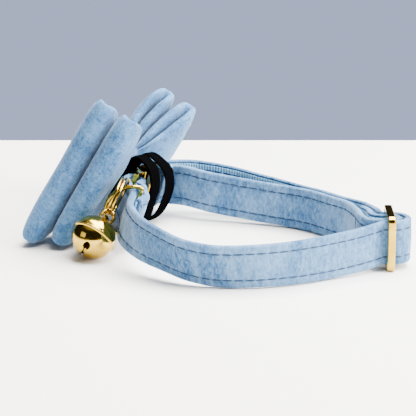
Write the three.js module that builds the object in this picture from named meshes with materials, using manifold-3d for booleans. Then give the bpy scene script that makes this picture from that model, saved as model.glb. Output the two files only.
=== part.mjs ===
// Pet collar with a bow tie, a bell on a split ring and a three-bar slider.
// Millimetres, +Z up. The collar stands on the lower edge of its strap, as a loop whose neck
// opening looks up. +X runs from the buckle and bow to the slider.
import * as THREE from 'three';
import { mergeVertices } from 'three/addons/utils/BufferGeometryUtils.js';
import Module from 'manifold-3d';

const wasm = await Module();
wasm.setup();

// Driving dimensions

const gap = 0.3; // clearance between pieces that touch on the real collar
const strapWidth = 15;
const velvetThickness = 1.2;
const webbingThickness = 1.0;
const webbingWidth = 13;
const loopLength = 99; // outside of the loop, bow end to slider end
const loopDepth = 92; // outside of the loop, near run to far run

const sliderBarWidth = 2.6; // along the strap
const sliderBarDepth = 1.8; // across the strap's thickness
const sliderRail = 1.7; // top and bottom rails

const buckleBar = 2.0; // thickness of the bar that a strap end wraps round
const buckleReach = 10; // from the buckle's middle to each end
const buckleRail = 1.1;
const buckleThickness = 4.6;
const buckleLean = 14; // degrees, top towards the neck

const ringRadius = 6.9; // split ring, middle of its wire
const ringWire = 0.9;
const dRingWire = 1.5;
const dRingReach = 9.7; // from the D ring's bar to the top of its bow
const bellRadius = 7.5;
const bellWall = 0.7;
const pelletRadius = 1.9;

const bowWing = 37.5; // half of the bow's length
const bowHalfHeight = 29.3;
const padThickness = 4.2; // padded velvet of the bow's panels
const knotWidth = 13;
const knotWall = 1.3;
const elasticWidth = 9;
const elasticThickness = 1.2;

// What follows from them

const strapThickness = velvetThickness + gap + webbingThickness;
const laneStep = strapThickness + gap; // between the middles of two layers that lie together
const middleLane = sliderBarDepth / 2 + 1.4 * gap + strapThickness / 2;
const sliderPitch = 2 * middleLane + laneStep;
const sliderHeight = strapWidth + 2 * gap + 2 * sliderRail;
const sliderPlace = { x: 0.429 * loopLength, y: -0.216 * loopDepth };
const wrapRadius = buckleBar / 2 + 1.4 * gap + strapThickness / 2;
const degrees = Math.PI / 180;
const up = new THREE.Vector3(0, 0, 1);

const velvetBlue = new THREE.MeshStandardMaterial({ color: 0x8fb6dc, roughness: 0.95, metalness: 0 });
const webbingBlue = new THREE.MeshStandardMaterial({ color: 0x7ea8cf, roughness: 0.9, metalness: 0 });
const paleGold = new THREE.MeshStandardMaterial({ color: 0xd9b878, roughness: 0.18, metalness: 1 });
const elasticBlack = new THREE.MeshStandardMaterial({ color: 0x141417, roughness: 0.85, metalness: 0 });

const collar = new THREE.Group();

function addPiece(name, geometry, material, parent = collar) {
  const piece = new THREE.Mesh(geometry, material.clone());
  piece.name = name;
  parent.add(piece);
  return piece;
}

// Solids from shared vertices, and back

function toSolid(geometry) {
  const bare = geometry.clone();
  bare.deleteAttribute('normal');
  bare.deleteAttribute('uv');
  const merged = mergeVertices(bare, 1e-4);
  return new wasm.Manifold(new wasm.Mesh({
    numProp: 3,
    vertProperties: new Float32Array(merged.attributes.position.array),
    triVerts: new Uint32Array(merged.index.array),
  }));
}

function toGeometry(solid) {
  const mesh = solid.getMesh();
  const geometry = new THREE.BufferGeometry();
  geometry.setAttribute('position', new THREE.BufferAttribute(new Float32Array(mesh.vertProperties), 3));
  geometry.setIndex(new THREE.BufferAttribute(new Uint32Array(mesh.triVerts), 1));
  geometry.computeVertexNormals();
  return geometry;
}

function signedVolume(positions, faces) {
  let volume = 0;
  const corner = (i) => new THREE.Vector3().fromArray(positions, 3 * faces[i]);
  for (let i = 0; i < faces.length; i += 3) {
    volume += corner(i).dot(corner(i + 1).cross(corner(i + 2))) / 6;
  }
  return volume;
}

// A skin over rings of points, each ring one cross-section. A closed skin joins its last ring to
// its first, and an open one has a flat cap at each end. A mirrored skin splits its quads along the
// other diagonal, as a face that lies against another one needs.
function skin(rings, closed, mirrored = false) {
  const count = rings[0].length;
  const positions = rings.flat().flatMap((point) => [point.x, point.y, point.z]);
  const faces = [];
  const steps = closed ? rings.length : rings.length - 1;
  for (let i = 0; i < steps; i++) {
    const here = i * count;
    const next = ((i + 1) % rings.length) * count;
    for (let j = 0; j < count; j++) {
      const k = (j + 1) % count;
      if (mirrored) {
        faces.push(here + j, here + k, next + j);
        faces.push(here + k, next + k, next + j);
      } else {
        faces.push(here + j, here + k, next + k);
        faces.push(here + j, next + k, next + j);
      }
    }
  }
  if (!closed) {
    const last = (rings.length - 1) * count;
    for (let j = 1; j < count - 1; j++) {
      faces.push(0, j + 1, j);
      faces.push(last, last + j, last + j + 1);
    }
  }
  const geometry = new THREE.BufferGeometry();
  geometry.setAttribute('position', new THREE.BufferAttribute(new Float32Array(positions), 3));
  geometry.setIndex(signedVolume(positions, faces) > 0 ? faces : faces.reverse());
  geometry.computeVertexNormals();
  return geometry;
}

function roundOutline(radiusA, radiusB, sides) {
  return Array.from({ length: sides }, (_, i) => {
    const turn = (2 * Math.PI * i) / sides;
    return [radiusA * Math.cos(turn), radiusB * Math.sin(turn)];
  });
}

// Flat strip with its four long edges eased
function stripOutline(low, high, halfWidth, ease) {
  return [
    [high, -halfWidth + ease],
    [high, halfWidth - ease],
    [high - ease, halfWidth],
    [low + ease, halfWidth],
    [low, halfWidth - ease],
    [low, -halfWidth + ease],
    [low + ease, -halfWidth],
    [high - ease, -halfWidth],
  ];
}

function flatOutline(low, high, halfWidth) {
  return [[high, -halfWidth], [high, halfWidth], [low, halfWidth], [low, -halfWidth]];
}

// The strap is one long strip: flap, buckle wrap, near run, slider, far outer run, buckle wrap,
// far inner run, wrap of the slider's middle bar, flap. Places are shares of the loop's length and
// depth from the loop's middle, lift is a share of the strap's width, and lean is in degrees, with
// the strap's upper edge tipped to the right of its travel.

const nearRun = [
  { along: -0.488, deep: 0.005, lift: 0.40, lean: -20 }, // beside the bell
  { along: -0.482, deep: -0.120, lift: 0.37, lean: -15 },
  { along: -0.454, deep: -0.212, lift: 0.33, lean: -9 },
  { along: -0.404, deep: -0.304, lift: 0.28, lean: 0 }, // the near left bend
  { along: -0.322, deep: -0.388, lift: 0.20, lean: 9 },
  { along: -0.250, deep: -0.443, lift: 0.11, lean: 13 },
  { along: -0.161, deep: -0.473, lift: 0.03, lean: 12 },
  { along: -0.050, deep: -0.484, lift: 0.03, lean: 9 }, // down on the table
  { along: 0.091, deep: -0.453, lift: 0.03, lean: 5 },
  { along: 0.233, deep: -0.377, lift: 0.03, lean: 1 },
  { along: 0.329, deep: -0.327, lift: 0.08, lean: 0 }, // rising into the slider
];

const outerRun = [
  { along: 0.358, deep: 0.010, lift: 0.08, lean: 0 },
  { along: 0.295, deep: 0.110, lift: 0.03, lean: 0 },
  { along: 0.226, deep: 0.201, lift: 0.03, lean: 0 },
  { along: 0.152, deep: 0.279, lift: 0.03, lean: 0 },
  { along: 0.075, deep: 0.347, lift: 0.07, lean: 0 },
  { along: 0.003, deep: 0.390, lift: 0.13, lean: 0 },
  { along: -0.070, deep: 0.432, lift: 0.20, lean: 0 },
  { along: -0.151, deep: 0.465, lift: 0.28, lean: -3 },
  { along: -0.232, deep: 0.486, lift: 0.34, lean: -6 },
  { along: -0.311, deep: 0.479, lift: 0.38, lean: -10 }, // last bend before the buckle
];

const innerRun = [
  { along: -0.262, deep: 0.400, lift: 0.30, lean: 1 },
  { along: -0.185, deep: 0.364, lift: 0.22, lean: 1 },
  { along: -0.109, deep: 0.342, lift: 0.15, lean: 0 },
  { along: -0.033, deep: 0.316, lift: 0.10, lean: 0 },
  { along: 0.046, deep: 0.288, lift: 0.05, lean: 0 },
  { along: 0.122, deep: 0.251, lift: 0.03, lean: 0 },
  { along: 0.188, deep: 0.197, lift: 0.03, lean: 0 },
  { along: 0.257, deep: 0.108, lift: 0.03, lean: 0 },
  { along: 0.304, deep: 0.021, lift: 0.07, lean: 0 },
];

// The buckle's own frame: along the strap, across it, and out towards the bow
const buckleHeading = 69 * degrees;
const buckleAlong = new THREE.Vector3(Math.cos(buckleHeading), Math.sin(buckleHeading), 0);
const buckleNeck = new THREE.Vector3().crossVectors(buckleAlong, up);
const buckleAcross = up.clone().multiplyScalar(Math.cos(buckleLean * degrees))
  .addScaledVector(buckleNeck, Math.sin(buckleLean * degrees));
const buckleOut = new THREE.Vector3().crossVectors(buckleAcross, buckleAlong);
const buckleMiddle = new THREE.Vector3(-0.421 * loopLength, 0.292 * loopDepth, 0.87 * strapWidth);
const barPlace = buckleReach - buckleBar / 2;

function bucklePoint(along, out, across = 0) {
  return buckleMiddle.clone().addScaledVector(buckleAlong, along)
    .addScaledVector(buckleOut, out)
    .addScaledVector(buckleAcross, across);
}

// A station of the strap: the middle of its section and the direction across its width
function station(middle, across) {
  return { middle, across: across.clone().normalize() };
}

// A free run of the strap between two held points, whose leans are given
function runStations(rows, before, after, leanBefore, leanAfter, samples) {
  const points = rows.map((row) => new THREE.Vector3(
    row.along * loopLength, row.deep * loopDepth, row.lift * strapWidth));
  const leans = [leanBefore, ...rows.map((row) => row.lean), leanAfter];
  const path = new THREE.CatmullRomCurve3([before, ...points, after].map((point) => point.clone()));
  const stations = [];
  const spans = rows.length + 1;
  for (let i = 1; i < spans * samples; i++) {
    const share = i / (spans * samples);
    const row = Math.floor(i / samples);
    const lean = THREE.MathUtils.lerp(leans[row], leans[row + 1], i / samples - row) * degrees;
    const travel = path.getTangent(share).setZ(0).normalize();
    const right = new THREE.Vector3().crossVectors(travel, up);
    const across = up.clone().multiplyScalar(Math.cos(lean)).addScaledVector(right, Math.sin(lean));
    const foot = path.getPoint(share);
    stations.push(station(foot.addScaledVector(across, strapWidth / 2), across));
  }
  return stations;
}

// Half a turn to the left about a bar, from one side of it to the other
function turnStations(centre, start, ahead, across, radius, steps) {
  return Array.from({ length: steps + 1 }, (_, i) => {
    const turn = (Math.PI * i) / steps;
    const middle = centre.clone().addScaledVector(start, radius * Math.cos(turn))
      .addScaledVector(ahead, radius * Math.sin(turn));
    return station(middle, across);
  });
}

function rightOf(stations, i) {
  const before = stations[Math.max(i - 1, 0)].middle;
  const after = stations[Math.min(i + 1, stations.length - 1)].middle;
  return new THREE.Vector3().subVectors(after, before).cross(stations[i].across).normalize();
}

function sliderPoint(x, lane) {
  return new THREE.Vector3(sliderPlace.x + x, sliderPlace.y + lane, sliderHeight / 2);
}

const east = new THREE.Vector3(1, 0, 0);
const north = new THREE.Vector3(0, 1, 0);
const south = new THREE.Vector3(0, -1, 0);
const neckward = buckleOut.clone().negate();
const backwards = buckleAlong.clone().negate();
const nearLane = -(middleLane + laneStep);
const outerLane = middleLane + laneStep;
const besideBar = -(sliderBarWidth / 2 + gap + strapThickness / 2);
const footOf = (here) => here.middle.clone().addScaledVector(here.across, -strapWidth / 2);

// The near run, from the buckle's near bar to the slider's first window
const strapEase = 0.34 * strapWidth; // strap held straight past a buckle bar
const runSamples = 2;
const leadSamples = 3;
const nearStart = station(bucklePoint(-barPlace - 0.2 * strapWidth, wrapRadius), buckleAcross);
const nearEnd = station(sliderPoint(-sliderBarWidth, nearLane), up);
const nearStations = runStations(nearRun, footOf(nearStart), footOf(nearEnd), -buckleLean, 0, leadSamples);

// The strap's near end lies on the neck side of the near run, past the D ring's bar
const dRingLane = dRingWire + 2 * gap + strapThickness + 0.2;
const dRingIndex = leadSamples - 1;
const flapOffsets = [2 * wrapRadius, dRingLane + 0.15, dRingLane, laneStep + 0.3, laneStep];

function flapStations() {
  return flapOffsets.map((offset, i) => station(
    nearStations[i].middle.clone().addScaledVector(rightOf(nearStations, i), -offset),
    nearStations[i].across)).reverse();
}

function buildStrap() {
  const flapLead = station(bucklePoint(-barPlace - 0.2 * strapWidth, -wrapRadius), buckleAcross);
  const stations = [...flapStations(), flapLead];
  const nearBar = bucklePoint(-barPlace, 0);
  stations.push(...turnStations(nearBar, neckward, buckleAlong, buckleAcross, wrapRadius, 8));
  stations.push(nearStart, ...nearStations, nearEnd);

  // Round beyond the slider and back through it as the far outer run
  stations.push(...turnStations(sliderPoint(0.7, 0), south, east, up, -nearLane, 12));
  const leaving = [
    station(sliderPoint(besideBar * 0.7, outerLane), up),
    station(sliderPoint(besideBar - 0.1, outerLane + 0.6 * laneStep), up),
    station(sliderPoint(besideBar - 0.4, sliderPitch + 0.6 * laneStep), up),
  ];
  const outerStart = leaving[2];
  const outerEnd = station(bucklePoint(barPlace + strapEase, wrapRadius), buckleAcross);
  const outer = runStations(outerRun, footOf(outerStart), footOf(outerEnd), 0, -buckleLean, runSamples);
  stations.push(...leaving, ...outer, outerEnd);

  // Round the buckle's far bar and back as the far inner run
  stations.push(...turnStations(bucklePoint(barPlace, 0), buckleOut, backwards, buckleAcross, wrapRadius, 8));
  const innerHeld = station(bucklePoint(barPlace + 0.6 * strapEase, -wrapRadius), buckleAcross);
  const innerTurn = station(bucklePoint(barPlace + 0.95 * strapEase, -wrapRadius - 0.6), buckleAcross);
  const halfLean = new THREE.Vector3().addVectors(buckleAcross, up);
  const innerStart = station(bucklePoint(barPlace + 1.3 * strapEase, -wrapRadius - 2.7), halfLean);
  const innerLead = station(sliderPoint(besideBar - 2.2 * laneStep - 0.8, sliderPitch), up);
  stations.push(innerHeld, innerTurn, innerStart);
  stations.push(...runStations(innerRun, footOf(innerStart), footOf(innerLead), 0, 0, runSamples));
  stations.push(innerLead);
  stations.push(station(sliderPoint(besideBar - 2 * laneStep - 0.4, 0.5 * middleLane), up));
  stations.push(station(sliderPoint(besideBar - 1.5 * laneStep, -0.7 * middleLane), up));
  stations.push(station(sliderPoint(besideBar * 0.8, -middleLane), up));

  // Round the slider's middle bar, with the end laid back between the two runs
  const wrapCentre = (sliderBarWidth - sliderBarDepth) / 2;
  stations.push(...turnStations(sliderPoint(wrapCentre, 0), south, east, up, middleLane, 8));
  stations.push(station(sliderPoint(besideBar * 0.9, middleLane), up));
  stations.push(station(sliderPoint(besideBar - 0.75 * laneStep, middleLane + 0.35 * laneStep), up));
  stations.push(station(sliderPoint(besideBar - 1.1 * laneStep, outerLane + 0.1 * laneStep), up));
  const beside = [...leaving, ...outer];
  for (let i = 2; i < 4; i++) {
    const middle = beside[i].middle.clone().addScaledVector(rightOf(beside, i), -laneStep - 0.15);
    stations.push(station(middle, up));
  }
  return stations;
}

const strapStations = buildStrap();

function sweepStrap(outline, mirrored) {
  const rings = strapStations.map((here, i) => {
    const right = rightOf(strapStations, i);
    return outline.map(([side, width]) => here.middle.clone()
      .addScaledVector(right, side)
      .addScaledVector(here.across, width));
  });
  return skin(rings, false, mirrored);
}

const outerFace = strapThickness / 2;
const seamPlane = outerFace - velvetThickness;
const velvetOutline = stripOutline(seamPlane, outerFace, strapWidth / 2, 0.4);
const webbingOutline = flatOutline(-outerFace, seamPlane - gap, webbingWidth / 2);
addPiece('collar_strap', sweepStrap(velvetOutline, false), velvetBlue);
addPiece('strap_webbing', sweepStrap(webbingOutline, true), webbingBlue);

// Rounded rectangle in the X-Y plane
function roundedBox(shape, width, height, radius) {
  const x = width / 2;
  const y = height / 2;
  shape.moveTo(-x + radius, -y);
  shape.lineTo(x - radius, -y);
  shape.absarc(x - radius, -y + radius, radius, -Math.PI / 2, 0, false);
  shape.lineTo(x, y - radius);
  shape.absarc(x - radius, y - radius, radius, 0, Math.PI / 2, false);
  shape.lineTo(-x + radius, y);
  shape.absarc(-x + radius, y - radius, radius, Math.PI / 2, Math.PI, false);
  shape.lineTo(-x, -y + radius);
  shape.absarc(-x + radius, -y + radius, radius, Math.PI, 1.5 * Math.PI, false);
  return shape;
}

// Slider: three upright bars between two rails, with two windows for the strap
function buildSlider() {
  const depth = 2 * sliderPitch + sliderBarDepth;
  const plate = roundedBox(new THREE.Shape(), depth, sliderHeight, 2.2);
  const windowDepth = sliderPitch - sliderBarDepth;
  for (const side of [-1, 1]) {
    const hole = roundedBox(new THREE.Path(), windowDepth, sliderHeight - 2 * sliderRail, 0.4);
    const middle = new THREE.Vector2((side * sliderPitch) / 2, 0);
    plate.holes.push(new THREE.Path(hole.getPoints(2).map((point) => point.clone().add(middle))));
  }
  const ease = 0.35;
  const geometry = new THREE.ExtrudeGeometry(plate, {
    depth: sliderBarWidth - 2 * ease,
    bevelEnabled: true,
    bevelThickness: ease,
    bevelSize: ease,
    bevelOffset: -ease,
    bevelSegments: 1,
    curveSegments: 3,
  });
  geometry.translate(0, 0, -sliderBarWidth / 2 + ease);
  const slider = addPiece('slider', toGeometry(toSolid(geometry)), paleGold);
  slider.applyMatrix4(new THREE.Matrix4().makeBasis(north, up, east).setPosition(sliderPoint(0, 0)));
}
buildSlider();

// Buckle in two halves. Each half is drawn with its bar at -X, its bars along Z and +Y outwards.

const slotLength = strapThickness + 2 * gap;
const railHalf = strapWidth / 2 + gap + buckleRail;
const blockStart = -buckleReach + buckleBar + slotLength + gap;

function plateAcross(fromX, toX, thickness, halfHeight, ease) {
  const outline = roundedBox(new THREE.Shape(), toX - fromX, thickness, ease);
  const settings = { depth: 2 * halfHeight, bevelEnabled: false, curveSegments: 3 };
  const geometry = new THREE.ExtrudeGeometry(outline, settings);
  geometry.translate((fromX + toX) / 2, 0, -halfHeight);
  return toSolid(geometry);
}

function barAndRails(toX) {
  const bar = plateAcross(-buckleReach, -buckleReach + buckleBar, buckleBar, railHalf, 0.6);
  const frame = plateAcross(-buckleReach + 0.3 * buckleBar, toX, buckleBar, railHalf, 0.6);
  const slot = plateAcross(-2 * buckleReach, blockStart, 2 * buckleThickness, strapWidth / 2 + gap, 0.3);
  return frame.subtract(slot).add(bar);
}

const mouth = 1.6; // where the body's pocket opens
const tongueHalf = 5.2;
const tongueThickness = 2;

function placeBuckleHalf(name, solid, turned) {
  const geometry = toGeometry(solid);
  const along = buckleAlong.clone().multiplyScalar(turned ? -1 : 1);
  const out = buckleOut.clone().multiplyScalar(turned ? -1 : 1);
  const across = new THREE.Vector3().crossVectors(along, out);
  const frame = new THREE.Matrix4().makeBasis(along, out, across).setPosition(buckleMiddle);
  const piece = addPiece(name, geometry, paleGold);
  piece.applyMatrix4(frame);
}

const bodyBlock = plateAcross(blockStart, mouth, buckleThickness, railHalf, 1.2);
const pocket = plateAcross(blockStart + 1.2, mouth + 1, tongueThickness + 2 * gap, tongueHalf + gap, 0.3);
placeBuckleHalf('buckle_body', barAndRails(blockStart + 0.6).add(bodyBlock).subtract(pocket), false);

const tongueHead = plateAcross(blockStart, -mouth - gap, buckleThickness, railHalf, 1.2);
const tongue = plateAcross(-mouth - 1, -blockStart - 1.2 - gap, tongueThickness, tongueHalf, 0.5);
placeBuckleHalf('buckle_tongue', barAndRails(blockStart + 0.6).add(tongueHead).add(tongue), true);

// A wire along a list of points
function sweepWire(points, radius, sides, closed, normal) {
  const outline = roundOutline(radius, radius, sides);
  const count = points.length;
  const rings = points.map((point, i) => {
    const before = points[closed ? (i + count - 1) % count : Math.max(i - 1, 0)];
    const after = points[closed ? (i + 1) % count : Math.min(i + 1, count - 1)];
    const travel = new THREE.Vector3().subVectors(after, before).normalize();
    const side = new THREE.Vector3().crossVectors(travel, normal).normalize();
    const rise = new THREE.Vector3().crossVectors(side, travel);
    return outline.map(([a, b]) => point.clone().addScaledVector(side, a).addScaledVector(rise, b));
  });
  return skin(rings, closed);
}

// D ring: its straight bar lies between the strap and its flap, its bow stands out over the strap
const dStation = nearStations[dRingIndex];
const dOut = rightOf(nearStations, dRingIndex);
const dTravel = new THREE.Vector3().crossVectors(dStation.across, dOut).normalize();
const dBarDepth = strapThickness / 2 + gap + dRingWire / 2 + 0.1;
const dHalf = strapWidth / 2 + gap + dRingWire / 2 + 0.6;
const ringSeat = strapThickness / 2 + gap + ringWire + gap + 1.6; // clear of the strap's leaning face
const dPoint = (out, across) => dStation.middle.clone().addScaledVector(dOut, out)
  .addScaledVector(dStation.across, across);

function buildDRing() {
  const points = [];
  const bowSteps = 14;
  for (let i = 0; i <= bowSteps; i++) {
    const turn = -Math.PI / 2 + (Math.PI * i) / bowSteps;
    points.push(dPoint(-dBarDepth + dRingReach * Math.cos(turn), dHalf * Math.sin(turn)));
  }
  for (let i = 1; i < 6; i++) {
    points.push(dPoint(-dBarDepth, dHalf * (1 - i / 3)));
  }
  addPiece('d_ring', sweepWire(points, dRingWire / 2, 6, true, dTravel), paleGold);
}
buildDRing();

// The bow's frame stands off the buckle: u runs along the bow, h up it and n to its front
const bowAlong = new THREE.Vector3(0.29, 0.945, -0.149).normalize();
const bowUp = new THREE.Vector3(0.5, 0.0, 0.86);
bowUp.addScaledVector(bowAlong, -bowUp.dot(bowAlong)).normalize();
const bowFront = new THREE.Vector3().crossVectors(bowUp, bowAlong).normalize();
const knotStandoff = 13.1; // from the bow's middle plane to the buckle's middle
const bowMiddle = buckleMiddle.clone().addScaledVector(bowFront, knotStandoff)
  .addScaledVector(bowUp, -0.5);
const bowPoint = (u, h, n) => bowMiddle.clone().addScaledVector(bowAlong, u)
  .addScaledVector(bowUp, h)
  .addScaledVector(bowFront, n);

// Split ring: two turns of wire lying between the strap and the bow's back, through the D ring
const ringFront = new THREE.Vector3().addVectors(dOut, bowFront).normalize();
const ringSight = new THREE.Vector3(0, 1, 0).addScaledVector(ringFront, -ringFront.y).normalize();
const ringRise = new THREE.Vector3().crossVectors(ringSight, ringFront).normalize();
if (ringRise.z < 0) ringRise.negate();
const ringMiddle = dPoint(ringSeat, 0.31 * strapWidth).addScaledVector(ringSight, -3.9);
const ringStep = ringWire + gap;
const ringPoint = (turn, radius, height) => ringMiddle.clone()
  .addScaledVector(ringRise, radius * Math.cos(turn))
  .addScaledVector(ringSight, radius * Math.sin(turn))
  .addScaledVector(ringFront, height);

function buildSplitRing() {
  const points = [];
  const steps = 16;
  for (let i = 0; i <= 2 * steps; i++) {
    points.push(ringPoint((2 * Math.PI * i) / steps, ringRadius, ringStep * (i / steps - 1)));
  }
  addPiece('split_ring', sweepWire(points, ringWire / 2, 6, false, ringFront), paleGold);
}
buildSplitRing();

// Bell: a hollow ball with a ridge round it, a slot with round ends and a shank on top.
// It is turned about Z, with its slot at the bottom.
const shankHold = 205 * degrees; // where on the split ring the shank hangs
const shankPlace = ringPoint(shankHold, ringRadius, 0);
// The bell lies on the table. It stands beside the near wing's end, so it moves out as the wing grows.
const bellBeside = 1.04512 * bowWing;
const bellMiddle = new THREE.Vector3(-0.571 * loopLength, buckleMiddle.y - bellBeside, bellRadius);
const shankWire = 1.0;
const shankRise = shankPlace.distanceTo(bellMiddle) - bellRadius + ringWire / 2 + 2 * gap + shankWire / 2;

function buildBell() {
  const ridge = 0.45;
  const steps = 14;
  const profile = [];
  for (let i = 0; i <= steps; i++) {
    const turn = -Math.PI / 2 + (Math.PI * i) / steps;
    const swell = i === steps / 2 ? ridge : 0;
    const atPole = i === 0 || i === steps;
    const reach = atPole ? 0 : (bellRadius + swell) * Math.cos(turn);
    profile.push(new THREE.Vector2(reach, bellRadius * Math.sin(turn)));
  }
  const shell = new THREE.LatheGeometry(profile, 20);
  const inner = new THREE.SphereGeometry(bellRadius - bellWall, 20, 12);
  const upright = new THREE.Matrix4().makeRotationX(Math.PI / 2);
  let solid = toSolid(shell.applyMatrix4(upright)).subtract(toSolid(inner.applyMatrix4(upright)));
  const slot = new THREE.BoxGeometry(2 * bellRadius * 0.62, 1.0, bellRadius);
  slot.translate(0, 0, -bellRadius);
  solid = solid.subtract(toSolid(slot));
  for (const side of [-1, 1]) {
    const hole = new THREE.CylinderGeometry(1.25, 1.25, 2 * bellRadius, 12);
    hole.rotateX(Math.PI / 2);
    hole.translate(side * bellRadius * 0.6, 0, -bellRadius);
    solid = solid.subtract(toSolid(hole));
  }
  const squared = (value) => Math.sign(value) * Math.abs(value) ** 0.7;
  const shankPoints = roundOutline(1, 1, 14)
    .map(([a, b]) => new THREE.Vector3(0, 2.2 * squared(a), bellRadius + shankRise * squared(b)));
  const shank = sweepWire(shankPoints, shankWire / 2, 6, true, new THREE.Vector3(1, 0, 0));
  solid = solid.add(toSolid(shank));
  const hollow = new THREE.SphereGeometry(bellRadius - bellWall, 20, 12).applyMatrix4(upright);
  return toGeometry(solid.subtract(toSolid(hollow)));
}

const bellUp = new THREE.Vector3().subVectors(shankPlace, bellMiddle).normalize();
const ringTravel = ringSight.clone().multiplyScalar(Math.cos(shankHold));
ringTravel.addScaledVector(ringRise, -Math.sin(shankHold));
const bellSide = ringTravel.clone().addScaledVector(bellUp, -ringTravel.dot(bellUp)).normalize();
const bellFront = new THREE.Vector3().crossVectors(bellUp, bellSide);
const bellTurn = new THREE.Matrix4().makeBasis(bellSide, bellFront, bellUp);
const bellGroup = new THREE.Group();
bellGroup.applyMatrix4(bellTurn);
bellGroup.position.copy(bellMiddle);
collar.add(bellGroup);
addPiece('bell', buildBell(), paleGold, bellGroup);
const pellet = addPiece('bell_pellet', new THREE.SphereGeometry(pelletRadius, 10, 8), paleGold, bellGroup);
pellet.position.set(0, 0, -(bellRadius - bellWall - pelletRadius - gap));

// Bow: two flattened loops of padded velvet, one before the other, drawn in at the knot.
// Rows run from the knot out to a wing's end: out is a share of the wing's straight length, high of
// the half height, and the rest are shares of the pad's thickness. spread is from a loop's middle
// to the middle of its panel, and set is from the bow's middle plane to the loop's middle.
const wingRows = [
  { out: 0, high: 0.31, thick: 0.21, spread: 0.145, set: 0.315 },
  { out: 0.22, high: 0.31, thick: 0.21, spread: 0.145, set: 0.315 },
  { out: 0.36, high: 0.43, thick: 0.46, spread: 0.31, set: 0.61 },
  { out: 0.56, high: 0.70, thick: 0.80, spread: 0.53, set: 1.01 },
  { out: 0.78, high: 0.92, thick: 1.00, spread: 0.59, set: 1.17 },
  { out: 1, high: 0.99, thick: 1.00, spread: 0.56, set: 1.15 },
];
const pleatDepth = 0.8;

function wingAt(share) {
  const place = Math.min(Math.abs(share), 1);
  const last = wingRows.findIndex((row) => row.out >= place);
  const to = wingRows[Math.max(last, 1)];
  const from = wingRows[Math.max(last, 1) - 1];
  const t = (place - from.out) / (to.out - from.out);
  const mix = (key) => THREE.MathUtils.lerp(from[key], to[key], t);
  return {
    high: mix('high') * bowHalfHeight,
    thick: mix('thick') * padThickness,
    spread: mix('spread') * padThickness,
    set: mix('set') * padThickness,
  };
}

// The far wing comes down on the table, so its lower half is bent out and lies along it. This gives
// a point's height and depth once the bend has turned it.
const bendTurn = 66.5 * degrees;
const bendFrom = 0.22 * bowHalfHeight;
const bendTo = -0.50 * bowHalfHeight;

function bentPlace(u, height, depth) {
  const share = THREE.MathUtils.smoothstep(u, 0.15 * bowWing, 0.75 * bowWing);
  if (height >= bendFrom || share === 0) return [height, depth];
  const steps = 12;
  const step = (bendFrom - height) / steps;
  let h = bendFrom;
  let n = 0;
  let turn = 0;
  for (let i = 0; i < steps; i++) {
    const here = bendFrom - (i + 0.5) * step;
    turn = share * bendTurn * THREE.MathUtils.smoothstep(bendFrom - here, 0, bendFrom - bendTo);
    h -= step * Math.cos(turn);
    n += step * Math.sin(turn);
  }
  turn = share * bendTurn * THREE.MathUtils.smoothstep(bendFrom - height, 0, bendFrom - bendTo);
  return [h + depth * Math.sin(turn), n + depth * Math.cos(turn)];
}

// How far a loop can reach down the near wing before the table stops it
function reachDown(u, lowest) {
  return (bowMiddle.z + u * bowAlong.z + lowest * bowFront.z) / bowUp.z;
}

function buildBowLoop(front) {
  const end = wingRows[wingRows.length - 1];
  const straight = bowWing - (end.spread + end.thick / 2) * padThickness;
  const runSteps = 18;
  const turnSteps = 4;
  const heightSteps = 10;
  const path = [];
  for (const face of [1, -1]) {
    for (let i = 0; i <= runSteps; i++) {
      const share = face * (-1 + (2 * i) / runSteps);
      const wing = wingAt(share);
      path.push({ u: share * straight, n: front * wing.set + face * wing.spread, a: 0, b: face, wing });
    }
    const wing = wingAt(1);
    for (let i = 1; i <= turnSteps; i++) {
      const turn = (Math.PI * i) / (turnSteps + 1);
      const a = face * Math.sin(turn);
      const b = face * Math.cos(turn);
      path.push({ u: face * straight + wing.spread * a, n: front * wing.set + wing.spread * b, a, b, wing });
    }
  }
  const rings = path.map(({ u, n, a, b, wing }) => {
    const ring = [];
    const down = reachDown(u, front * wing.set - wing.spread - wing.thick / 2);
    const wave = pleatDepth * Math.exp(-(((Math.abs(u) - 0.47 * bowWing) / (0.17 * bowWing)) ** 2));
    for (let k = 0; k < 2 * heightSteps; k++) {
      const height = -Math.cos((Math.PI * k) / heightSteps);
      const face = k <= heightSteps ? 1 : -1;
      const half = (wing.thick / 2) * Math.sqrt(Math.max(0, 1 - height ** 8));
      const fold = wave * Math.cos(2.5 * Math.PI * height);
      const reach = height < 0 && u < 0 ? Math.min(wing.high, down) : wing.high;
      const [h, depth] = bentPlace(u, height * reach, n + b * face * half + fold);
      ring.push(bowPoint(u + a * face * half, h, depth));
    }
    return ring;
  });
  return skin(rings, true);
}

addPiece('bow_front_loop', buildBowLoop(1), velvetBlue);
addPiece('bow_back_loop', buildBowLoop(-1), velvetBlue);

// Band wound in a ring in the plane across the bow, from points of height and depth
function sweepBand(points, from, to, thickness, ease) {
  const count = points.length;
  const middle = (from + to) / 2;
  const outline = stripOutline(-thickness / 2, thickness / 2, (to - from) / 2, ease);
  const rings = points.map(([h, n], i) => {
    const [hBefore, nBefore] = points[(i + count - 1) % count];
    const [hAfter, nAfter] = points[(i + 1) % count];
    const length = Math.hypot(hAfter - hBefore, nAfter - nBefore);
    const outH = -(nAfter - nBefore) / length;
    const outN = (hAfter - hBefore) / length;
    return outline.map(([side, width]) => bowPoint(middle + width, h + side * outH, n + side * outN));
  });
  return skin(rings, true);
}

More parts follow.
